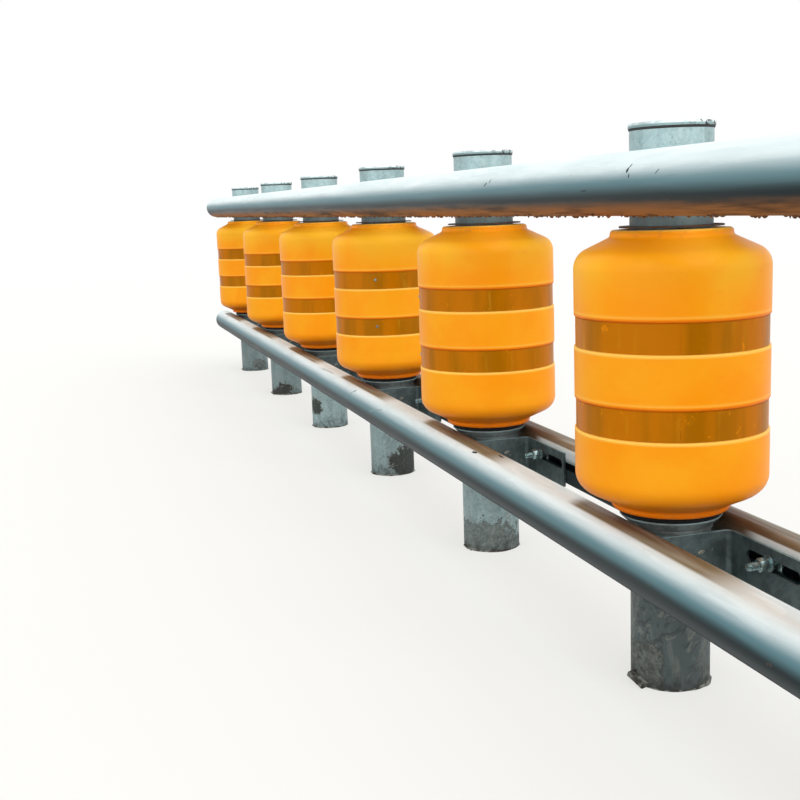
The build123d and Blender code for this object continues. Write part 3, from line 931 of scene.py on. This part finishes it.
def cap_seals(sizes, finish):
    """A dark ring of rubber under each cap, put where the cap's lip casts its shadow: a painted shadow."""
    shape = bmesh.new()
    outline = [(-BURIED, 0), (SHADOW_RING_OUT, 0), (SHADOW_RING_OUT * 1.1, 0.35), (SHADOW_RING_OUT * 0.8, 0.75),
               (0.1 * MM, 1), (-BURIED, 1)]
    turned(shape, [(POST_R + beyond, POST_TOP - sizes.shadow_ring * share) for beyond, share in outline],
           SHADOW_RING_STEPS, closed=True)
    copies(shape, [Matrix.Translation((POST_X[n], 0, 0)) for n in POSTS])
    return finished("cap_seals", shape, finish, "frame")


# How each roller stands: the turn of its tape's seam and of its mould line, in degrees from +X
SEAM_TURNS = {1: -60, 2: -24, 3: 72, 4: 153, 5: 8, 6: 190, 7: 40}
MOULD_TURNS = {1: -10, 2: 60, 3: -20, 4: 74, 5: -58, 6: 5, 7: -32}
# Low and high edge of each band
BANDS = ((BAND_LOW.z, BAND_LOW.z + 2 * BAND_HALF), (BAND_HIGH.z - 2 * BAND_HALF, BAND_HIGH.z))
SEAM_INSET = 0.6 * MM
RIVET_RISE = 3 * MM
BORE_REACH = POST_R + 12 * MM


def turned_on(n, turn):
    """Places something made at +X of Z on roller n, turned by an angle in degrees."""
    return Matrix.Translation((POST_X[n], 0, 0)) @ Matrix.Rotation(math.radians(turn), 4, "Z")


def band_seam(marks, finish, n):
    """Overlap of the tape on both bands of a roller."""
    shape = bmesh.new()
    for low, high in BANDS:
        line = chain(shape, [(BAND_R, 0, low + SEAM_INSET), (BAND_R, 0, high - SEAM_INSET)])
        swept(shape, line, marks.seam / BAND_R, SEAM_STEPS)
    bmesh.ops.recalc_face_normals(shape, faces=shape.faces)
    bmesh.ops.solidify(shape, geom=shape.faces[:], thickness=-marks.seam_height)
    bmesh.ops.transform(shape, matrix=turned_on(n, SEAM_TURNS[n]), verts=shape.verts)
    return finished(f"band_seam_{n}", shape, finish, f"spinner_{n}")


def band_rivets(sizes, finish, n):
    """Domed rivet opposite the seam, one in each band."""
    shape = bmesh.new()
    radius = sizes.rivet / 2
    outline = [(0, 0.62), (0.45, 0.56), (0.82, 0.34), (1, 0.08), (1, -0.3), (0, -0.3)]
    turned(shape, [(radius * out, radius * up) for out, up in outline], RIVET_STEPS)
    outward = Matrix.Rotation(math.pi / 2, 4, "Y")
    matrices = []
    for low, high in BANDS:
        middle = Matrix.Translation((BAND_R, 0, (low + high) / 2 + RIVET_RISE))
        matrices.append(turned_on(n, SEAM_TURNS[n] + 180) @ middle @ outward)
    copies(shape, matrices)
    return finished(f"band_rivets_{n}", shape, finish, f"spinner_{n}")


def mould_lines(marks, finish, n):
    """Two raised lines on a roller, where the halves of its mould met."""
    shape = bmesh.new()
    shape.from_mesh(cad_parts[f"roller_{n}"].data)
    bmesh.ops.remove_doubles(shape, verts=shape.verts, dist=MERGE)
    bmesh.ops.translate(shape, verts=shape.verts, vec=(-POST_X[n], 0, 0))
    for side in (1, -1):
        geom = shape.verts[:] + shape.edges[:] + shape.faces[:]
        bmesh.ops.bisect_plane(shape, geom=geom, dist=MERGE, plane_co=(0, side * marks.mould_line / 2, 0),
                               plane_no=(0, side, 0), clear_outer=True)
    bore = [vert for vert in shape.verts if vert.co.xy.length < BORE_REACH]
    bmesh.ops.delete(shape, geom=bore, context="VERTS")
    bmesh.ops.recalc_face_normals(shape, faces=shape.faces)
    for face in shape.faces:
        if face.normal.x * face.calc_center_median().x < 0 and abs(face.normal.x) > 0.3:
            face.normal_flip()
    bmesh.ops.solidify(shape, geom=shape.faces[:], thickness=-marks.mould_height)
    bmesh.ops.transform(shape, matrix=turned_on(n, MOULD_TURNS[n]), verts=shape.verts)
    return finished(f"mould_lines_{n}", shape, finish, f"spinner_{n}")


def zinc_runs(marks, finish, word):
    """Small runs of zinc that set under an upper rail."""
    shape = bmesh.new()
    turned(shape, [(0, -1), (0.4, -0.86), (0.72, -0.5), (1, -0.1), (1.5, 0.3)], RUN_STEPS)
    seeded = random.Random(f"zinc runs {word}")
    low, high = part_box(f"upper_{word}_rail")
    middle_y = (low.y + high.y) / 2
    matrices = []
    for _ in range(marks.runs):
        x = seeded.uniform(low.x + marks.run_height, high.x - marks.run_height)
        off = math.radians(seeded.gauss(0, RUN_SPREAD))
        wide = marks.run_radius * seeded.uniform(0.35, 1)
        tall = marks.run_height * seeded.uniform(0.35, 1)
        y = middle_y + math.sin(off) * UPPER_R
        z = UPPER_MID - math.cos(off) * UPPER_R + RUN_LIFT
        grow = Matrix.Diagonal((wide * seeded.uniform(0.8, 1.9), wide, tall + BURIED, 1))
        matrices.append(Matrix.Translation((x, y, z)) @ grow)
    copies(shape, matrices)
    return finished(f"zinc_runs_{word}", shape, finish, "frame")


# Knocks on the rails: the rail, the post behind each, its start and end as mm beyond that post and degrees
# round the rail from its top, and its width in mm
UPPER = "upper_front_rail"
LOWER = "lower_front_rail"
KNOCKS = {
    "dark": ((UPPER, 2, (167, 65), (166, 70), 6.0), (UPPER, 2, (169, 63), (173, 57), 2.6),
             (UPPER, 2, (175, 75), (175, 80), 3.2), (UPPER, 2, (256, 77), (264, 70), 1.8),
             (UPPER, 2, (10, 100), (28, 99), 2.0), (UPPER, 3, (460, 77), (470, 71), 3.4),
             (UPPER, 3, (484, 71), (489, 63), 2.6), (LOWER, 3, (244, 18), (262, 15), 6.6),
             (LOWER, 3, (330, -18), (354, -17), 5.8), (LOWER, 4, (100, 36), (108, 33), 4.0)),
    "pale": ((LOWER, 4, (110, 27), (40, 82), 3.4), (LOWER, 4, (330, 76), (430, 46), 3.0)),
}


def surface_point(node_name, start, toward):
    """Where a ray first meets a node of the frame, and the way that the surface faces there."""
    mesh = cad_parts[node_name].data
    shell = BVHTree.FromPolygons([vert.co for vert in mesh.vertices],
                                 [face.vertices for face in mesh.polygons])
    return shell.ray_cast(start, toward)[:2]


def dome(shape):
    """A dome of radius 1, whose rim goes a little below the surface."""
    turned(shape, [(0, 0.8), (0.5, 0.68), (0.85, 0.4), (1.0, 0.0), (0.8, -0.2), (0, -0.2)], DOME_STEPS)


def dome_on(place, facing, size):
    """Places a dome on a surface, with a diameter and a quarter of it as its height."""
    return (Matrix.Translation(place) @ facing.to_track_quat("Z", "X").to_matrix().to_4x4()
            @ Matrix.Diagonal((size / 2, size / 2, size / 4, 1)))


def rail_knocks(tone, finish):
    """Small burrs left on the rails by knocks, each a row of overlapping domes."""
    shape = bmesh.new()
    dome(shape)
    matrices = []
    for rail, post, start, end, width in KNOCKS[tone]:
        low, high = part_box(rail)
        steps = max(2, round(math.dist(start, end) / width * 2.2))
        for step in range(steps + 1):
            beyond, turn = Vector(start).lerp(Vector(end), step / steps)
            out = Vector((0, -math.sin(math.radians(turn)), math.cos(math.radians(turn))))
            middle = Vector((POST_X[post] + beyond * MM, (low.y + high.y) / 2, (low.z + high.z) / 2))
            place, facing = surface_point(rail, middle + out * POST_R * 2, -out)
            share = 1 - 0.5 * abs(step / steps - 0.5)
            matrices.append(dome_on(place, facing, width * MM * share))
    copies(shape, matrices)
    return finished(f"rail_knocks_{tone}", shape, finish, "frame")


# Specks on every web: their place across it, their height against the rails' middle, and their share of
# the largest speck
WEB_SPOTS = ((17 * MM, -4 * MM, 1.0), (13 * MM, -5 * MM, 0.7), (21 * MM, -3 * MM, 0.6))


def web_specks(marks, finish):
    """Specks of cement dried on the webs of the lower brackets."""
    shape = bmesh.new()
    dome(shape)
    seeded = random.Random("web specks")
    matrices = []
    for n in POSTS:
        loose = [(seeded.uniform(-55 * MM, 55 * MM), seeded.uniform(-30 * MM, 25 * MM),
                  seeded.uniform(0.2, 0.45)) for _ in range(5)]
        for y, rise, share in (*WEB_SPOTS, *loose):
            start = Vector((POST_X[n] + BAY / 3, y, LOWER_MID + rise))
            place, facing = surface_point("lower_brackets", start, Vector((-1, 0, 0)))
            matrices.append(dome_on(place, facing, marks.speck * share))
    copies(shape, matrices)
    return finished("web_specks", shape, finish, "frame")


def cement_slab(shape, seeded, start, end, thick):
    """A broken slab of cement that lies from one point to another."""
    verts = bmesh.ops.create_cube(shape, size=1.0)["verts"]
    edges = once(edge for vert in verts for edge in vert.link_edges)
    bmesh.ops.scale(shape, verts=verts, vec=((end - start).length, thick * 2.1, thick))
    rounded = bevelled(shape, edges, thick * 0.18)
    edges = once(edge for vert in verts_of(rounded) for edge in vert.link_edges)
    cut = bmesh.ops.subdivide_edges(shape, edges=edges, cuts=2, use_grid_fill=True)
    faces = [face for edge in edges if edge.is_valid for face in edge.link_faces]
    faces += [item for item in cut["geom"] if isinstance(item, bmesh.types.BMFace)]
    verts = verts_of(faces)
    for vert in verts:
        vert.co += Vector([seeded.uniform(-0.06, 0.06) * thick for _ in range(3)])
    turn = (end - start).to_track_quat("X", "Z").to_matrix().to_4x4()
    bmesh.ops.transform(shape, matrix=Matrix.Translation((start + end) / 2) @ turn, verts=verts)


# The size of each foot's broken slab, against the one at the second post
SLAB_SHARES = {1: 0.5, 2: 1.0, 3: 0.35, 4: 0.3, 5: 0.3, 6: 0.45, 7: 0.4}


def foot_crusts(marks, finish):
    """Ragged cement and soil dried round each foot."""
    shape = bmesh.new()
    seeded = random.Random("foot crusts")
    reach = marks.crust_reach
    tall = marks.crust_height
    outline = [(-BURIED, 0), (reach, 0), (reach * 0.75, tall * 0.22), (reach * 0.3, tall * 0.6),
               (0.4 * MM, tall * 0.95), (-BURIED, tall)]
    for n in POSTS:
        faces = turned(shape, [(POST_R + out, up) for out, up in outline], CRUST_STEPS, closed=True)
        phases = [seeded.uniform(0, 2 * math.pi) for _ in range(4)]
        for vert in verts_of(faces):
            turn = math.atan2(vert.co.y, vert.co.x)
            wave = (0.5 + 0.28 * math.sin(2 * turn + phases[0]) + 0.2 * math.sin(5 * turn + phases[1])
                    + 0.12 * math.sin(13 * turn + phases[2]))
            out = vert.co.xy.length - POST_R
            if out > 0:
                spread = max(0.12, wave) * (1 + seeded.uniform(-0.25, 0.25))
                vert.co.xy = vert.co.xy.normalized() * (POST_R + out * spread)
            vert.co.z *= max(0.15, wave + 0.2 * math.sin(9 * turn + phases[3]))
        bmesh.ops.translate(shape, verts=verts_of(faces), vec=(POST_X[n], 0, 0))
        axis = Vector((POST_X[n], 0, 0))
        thick = marks.slab * SLAB_SHARES[n]
        start = Vector((0.0, -POST_R - thick, thick * 2.2))
        end = Vector((POST_R * 0.48, -POST_R * 0.92 - thick * 0.3, thick * 0.5))
        cement_slab(shape, seeded, axis + start, axis + end, thick)
    return finished("foot_crusts", shape, finish, "frame")


# Operators

class GUARDRAIL_OT_finish_steel(bpy.types.Operator):
    """Give the posts, caps, rails, brackets and collars their steel finishes"""
    bl_idname = "guardrail.finish_steel"
    bl_label = "Finish the steel"

    def execute(self, context):
        finish = context.scene.guardrail_finish
        for n in POSTS:
            give(f"post_{n}", post_zinc(finish, n))
        give("post_caps", cap_zinc(finish))
        give("top_rings", ring_steel(finish))
        # Both rails carry painted light and shade by height; the upper rails' brown film beneath is also a
        # painted reflection of the rollers
        upper = rail_zinc("upper_rail_zinc", finish, UPPER_MID, UPPER_R,
                          lit_side_from=0.06, film_and_painted_light_share=0.95, rubbed=False)
        lower = rail_zinc("lower_rail_zinc", finish, LOWER_MID, LOWER_HALF,
                          lit_side_from=0.33, film_and_painted_light_share=0.0, rubbed=True)
        for word in SIDES:
            give(f"upper_{word}_rail", upper)
            give(f"lower_{word}_rail", lower)
        for name, box in (("lower_brackets", LOWER_BRACKETS), ("upper_brackets", UPPER_BRACKETS)):
            # The brackets' top edges carry a painted highlight
            give(name, dull_plate(f"{name}_plate", finish, finish.plate, highlight_top_edge(box)))
        # The collars' rims carry a painted highlight
        rim = highlight_rim(DISH_R, DISH_HIGH.z - 3.4 * MM, DISH_HIGH.z - 1.6 * MM)
        give("support_collars", dull_plate("collar_steel", finish, finish.collar, rim))
        return {"FINISHED"}


class GUARDRAIL_OT_finish_rollers(bpy.types.Operator):
    """Give each roller its foam skin, its tape and its mould lines, and the gaskets their rubber"""
    bl_idname = "guardrail.finish_rollers"
    bl_label = "Finish the rollers"

    def execute(self, context):
        finish = context.scene.guardrail_finish
        marks = context.scene.guardrail_marks
        give("roller_gaskets", soft_rubber(finish))
        for n in POSTS:
            foam = roller_foam(finish, n)
            give(f"roller_{n}", foam)
            give(f"bands_{n}", band_tape(finish, n))
            mould_lines(marks, foam, n)
        return {"FINISHED"}


def bolt_steel(scene):
    """The bolts' finish, made the first time that it is asked for."""
    return bpy.data.materials.get("bolt_zinc") or bolt_zinc(scene.guardrail_finish)


class GUARDRAIL_OT_band_fixings(bpy.types.Operator):
    """Add the overlap and the rivets of the tape on each roller"""
    bl_idname = "guardrail.band_fixings"
    bl_label = "Add the tape's fixings"

    def execute(self, context):
        scene = context.scene
        steel = bolt_steel(scene)
        for n in POSTS:
            band_seam(scene.guardrail_marks, bpy.data.materials[f"band_tape_{n}"], n)
            band_rivets(scene.guardrail_fasteners, steel, n)
        return {"FINISHED"}


# Where each post's bolts sit in the slots, in mm from the bracket's web, how far behind the flange a bolt's
# head lies, and the wall that it lies against in the lower rails
LOWER_BOLTS = {1: 98, 2: 122, 3: 84, 4: 104, 5: 90, 6: 112, 7: 88}
UPPER_BOLTS = dict.fromkeys(POSTS, 60.5)
LOWER_GRIP = 9.5 * MM
UPPER_GRIP = 9.0 * MM
RAIL_WALL = 4 * MM


def slot_x(box, n, beyond):
    """Where post n's bolt sits along the row, in brackets whose box starts at the last post's web."""
    return POST_X[n] + box[0].x - POST_X[7] + beyond[n] * MM


class GUARDRAIL_OT_bolts(bpy.types.Operator):
    """Add the bolts through the brackets' flanges, with their nuts, washers and plates"""
    bl_idname = "guardrail.bolts"
    bl_label = "Add the bolts"

    def execute(self, context):
        sizes = context.scene.guardrail_fasteners
        steel = bolt_steel(context.scene)
        lower_z = LOWER_MID + sizes.lift
        rows = (("lower", LOWER_BRACKETS, LOWER_BOLTS, lower_z, LOWER_GRIP),
                ("upper", UPPER_BRACKETS, UPPER_BOLTS, UPPER_MID, UPPER_GRIP))
        for level, box, beyond, height, behind in rows:
            for word, side in SIDES.items():
                inner = side * (box[1].y - sizes.flange)
                places = [(slot_x(box, n, beyond), inner) for n in POSTS]
                bolts(f"{level}_{word}_bolts", sizes, steel, side, places, behind, height)
        for word, side in SIDES.items():
            y = side * (LOWER_BRACKETS[1].y + RAIL_WALL + sizes.head * 0.25)
            places = [(slot_x(LOWER_BRACKETS, n, LOWER_BOLTS), y) for n in POSTS]
            bolt_plates(f"lower_{word}_bolt_plates", steel, sizes, places, lower_z)
        return {"FINISHED"}


class GUARDRAIL_OT_shadow_rings(bpy.types.Operator):
    """Add the dark ring under each cap that is a painted shadow under its lip"""
    bl_idname = "guardrail.seals"
    bl_label = "Add the cap seals"

    def execute(self, context):
        cap_seals(context.scene.guardrail_fasteners, bpy.data.materials["black_rubber"])
        return {"FINISHED"}


class GUARDRAIL_OT_wear(bpy.types.Operator):
    """Add the zinc runs, the knocks, the cement specks and the crust at the feet"""
    bl_idname = "guardrail.wear"
    bl_label = "Add the wear"

    def execute(self, context):
        finish = context.scene.guardrail_finish
        marks = context.scene.guardrail_marks
        runs = run_zinc(finish)
        for word in SIDES:
            zinc_runs(marks, runs, word)
        foot_crusts(marks, dried_cement("cement_crust", finish, 1.0))
        web_specks(marks, dried_cement("cement_specks", finish, 0.25))
        rail_knocks("dark", knocked_zinc(finish))
        rail_knocks("pale", bpy.data.materials["cap_zinc"])
        return {"FINISHED"}


# Stage

FLOOR_REACH = 16.0
FLOOR_STEPS = 96
FLOOR_DROP = 0.2 * MM
FLOOR_FADE = (FLOOR_REACH * 0.3, FLOOR_REACH * 0.9)
FLOOR_SHADE = 0.3
FLOOR_GLOW = 0.655
LAMPS = {"key": (0.80, 0.14, 0.58), "fill": (0.40, -0.88, 0.26), "low": (0.72, 0.66, 0.20)}
SENSOR = 36.0
CLIP_START = 0.02


def stage_floor(tone):
    """A wide pale floor that keeps the shadow and fades out at its rim."""
    shape = bmesh.new()
    bmesh.ops.create_circle(shape, cap_ends=True, segments=FLOOR_STEPS, radius=FLOOR_REACH)
    bmesh.ops.translate(shape, verts=shape.verts, vec=(0, 0, -FLOOR_DROP))
    mesh = bpy.data.meshes.new("floor")
    shape.to_mesh(mesh)
    shape.free()
    floor = bpy.data.objects.new("floor", mesh)
    bpy.context.scene.collection.objects.link(floor)
    material = bpy.data.materials.new("floor")
    material.use_nodes = True
    nodes = Nodes(material.node_tree)
    nodes.tree.nodes.clear()
    ground = nodes.node("ShaderNodeBsdfDiffuse", {"Color": (*[value * FLOOR_SHADE for value in tone], 1)})
    glow = nodes.times(nodes.seen_directly(), FLOOR_GLOW)
    white = nodes.node("ShaderNodeEmission", {"Color": (*tone, 1), "Strength": glow})
    lit = nodes.node("ShaderNodeAddShader", {0: ground.outputs[0], 1: white.outputs[0]})
    clear = nodes.node("ShaderNodeBsdfTransparent")
    rim = nodes.ranged(nodes.length(nodes.placed()), *FLOOR_FADE)
    faded = nodes.node("ShaderNodeMixShader", {0: rim, 1: lit.outputs[0], 2: clear.outputs[0]})
    nodes.node("ShaderNodeOutputMaterial", {"Surface": faded.outputs[0]})
    mesh.materials.append(material)


def stage_world(strength):
    """Even light from all round, white where it is seen directly or in a gloss."""
    world = bpy.data.worlds.new("studio")
    world.use_nodes = True
    nodes = Nodes(world.node_tree)
    seen = {"Value": nodes.seen_directly(), "To Min": strength, "To Max": WHITE}
    level = nodes.node("ShaderNodeMapRange", seen)
    background = nodes.tree.nodes["Background"]
    background.inputs["Color"].default_value = (1, 1, 1, 1)
    nodes.tree.links.new(level.outputs["Result"], background.inputs["Strength"])
    bpy.context.scene.world = world


def stage_lamps(stage):
    """One large soft lamp beyond the near end, and a low one on each side."""
    for name, toward in LAMPS.items():
        lamp = bpy.data.lights.new(name, "SUN")
        lamp.energy = getattr(stage, name)
        lamp.angle = stage.lamp_size
        held = bpy.data.objects.new(name, lamp)
        held.rotation_euler = Vector(toward).to_track_quat("Z", "Y").to_euler()
        bpy.context.scene.collection.objects.link(held)


def stage_camera(stage):
    """The camera at the photograph's viewing angle."""
    camera = bpy.data.cameras.new("camera")
    camera.lens = stage.lens
    camera.sensor_width = SENSOR
    camera.clip_start = CLIP_START
    view = bpy.data.objects.new("camera", camera)
    turn = Matrix.Rotation(stage.heading, 4, "Z") @ Matrix.Rotation(math.pi / 2 - stage.tilt, 4, "X")
    view.matrix_world = Matrix.Translation(stage.eye) @ turn @ Matrix.Rotation(stage.roll, 4, "Z")
    bpy.context.scene.collection.objects.link(view)
    bpy.context.scene.camera = view


class GUARDRAIL_OT_stage(bpy.types.Operator):
    """Set up the floor, the lamps and the camera"""
    bl_idname = "guardrail.stage"
    bl_label = "Set up the stage"

    def execute(self, context):
        stage = context.scene.guardrail_stage
        stage_floor(stage.floor)
        stage_world(stage.sky)
        stage_lamps(stage)
        stage_camera(stage)
        context.scene.view_settings.view_transform = "Standard"
        return {"FINISHED"}


# Panel and registration

OPERATORS = (
    GUARDRAIL_OT_finish_steel,
    GUARDRAIL_OT_finish_rollers,
    GUARDRAIL_OT_band_fixings,
    GUARDRAIL_OT_bolts,
    GUARDRAIL_OT_shadow_rings,
    GUARDRAIL_OT_wear,
    GUARDRAIL_OT_stage,
)
SETTINGS = {
    "guardrail_finish": GuardrailFinish,
    "guardrail_fasteners": GuardrailFasteners,
    "guardrail_marks": GuardrailMarks,
    "guardrail_stage": GuardrailStage,
}


class GUARDRAIL_PT_panel(bpy.types.Panel):
    """Lists the steps and their sizes and colours"""
    bl_idname = "GUARDRAIL_PT_panel"
    bl_label = "Roller Guardrail"
    bl_space_type = "VIEW_3D"
    bl_region_type = "UI"
    bl_category = "Guardrail"

    def draw(self, context):
        for operator in OPERATORS:
            self.layout.operator(operator.bl_idname)
        for name in SETTINGS:
            settings = getattr(context.scene, name)
            box = self.layout.box()
            for field in settings.bl_rna.properties:
                if field.identifier not in ("rna_type", "name"):
                    box.prop(settings, field.identifier)


def register():
    for cls in (*SETTINGS.values(), *OPERATORS, GUARDRAIL_PT_panel):
        bpy.utils.register_class(cls)
    for name, cls in SETTINGS.items():
        setattr(bpy.types.Scene, name, PointerProperty(type=cls))


def unregister():
    for name in SETTINGS:
        delattr(bpy.types.Scene, name)
    for cls in (GUARDRAIL_PT_panel, *reversed(OPERATORS), *reversed(list(SETTINGS.values()))):
        bpy.utils.unregister_class(cls)


def main():
    register()
    bpy.ops.guardrail.finish_steel()
    bpy.ops.guardrail.finish_rollers()
    bpy.ops.guardrail.band_fixings()
    bpy.ops.guardrail.bolts()
    bpy.ops.guardrail.seals()
    bpy.ops.guardrail.wear()
    bpy.ops.guardrail.stage()


if __name__ == "__main__":
    main()
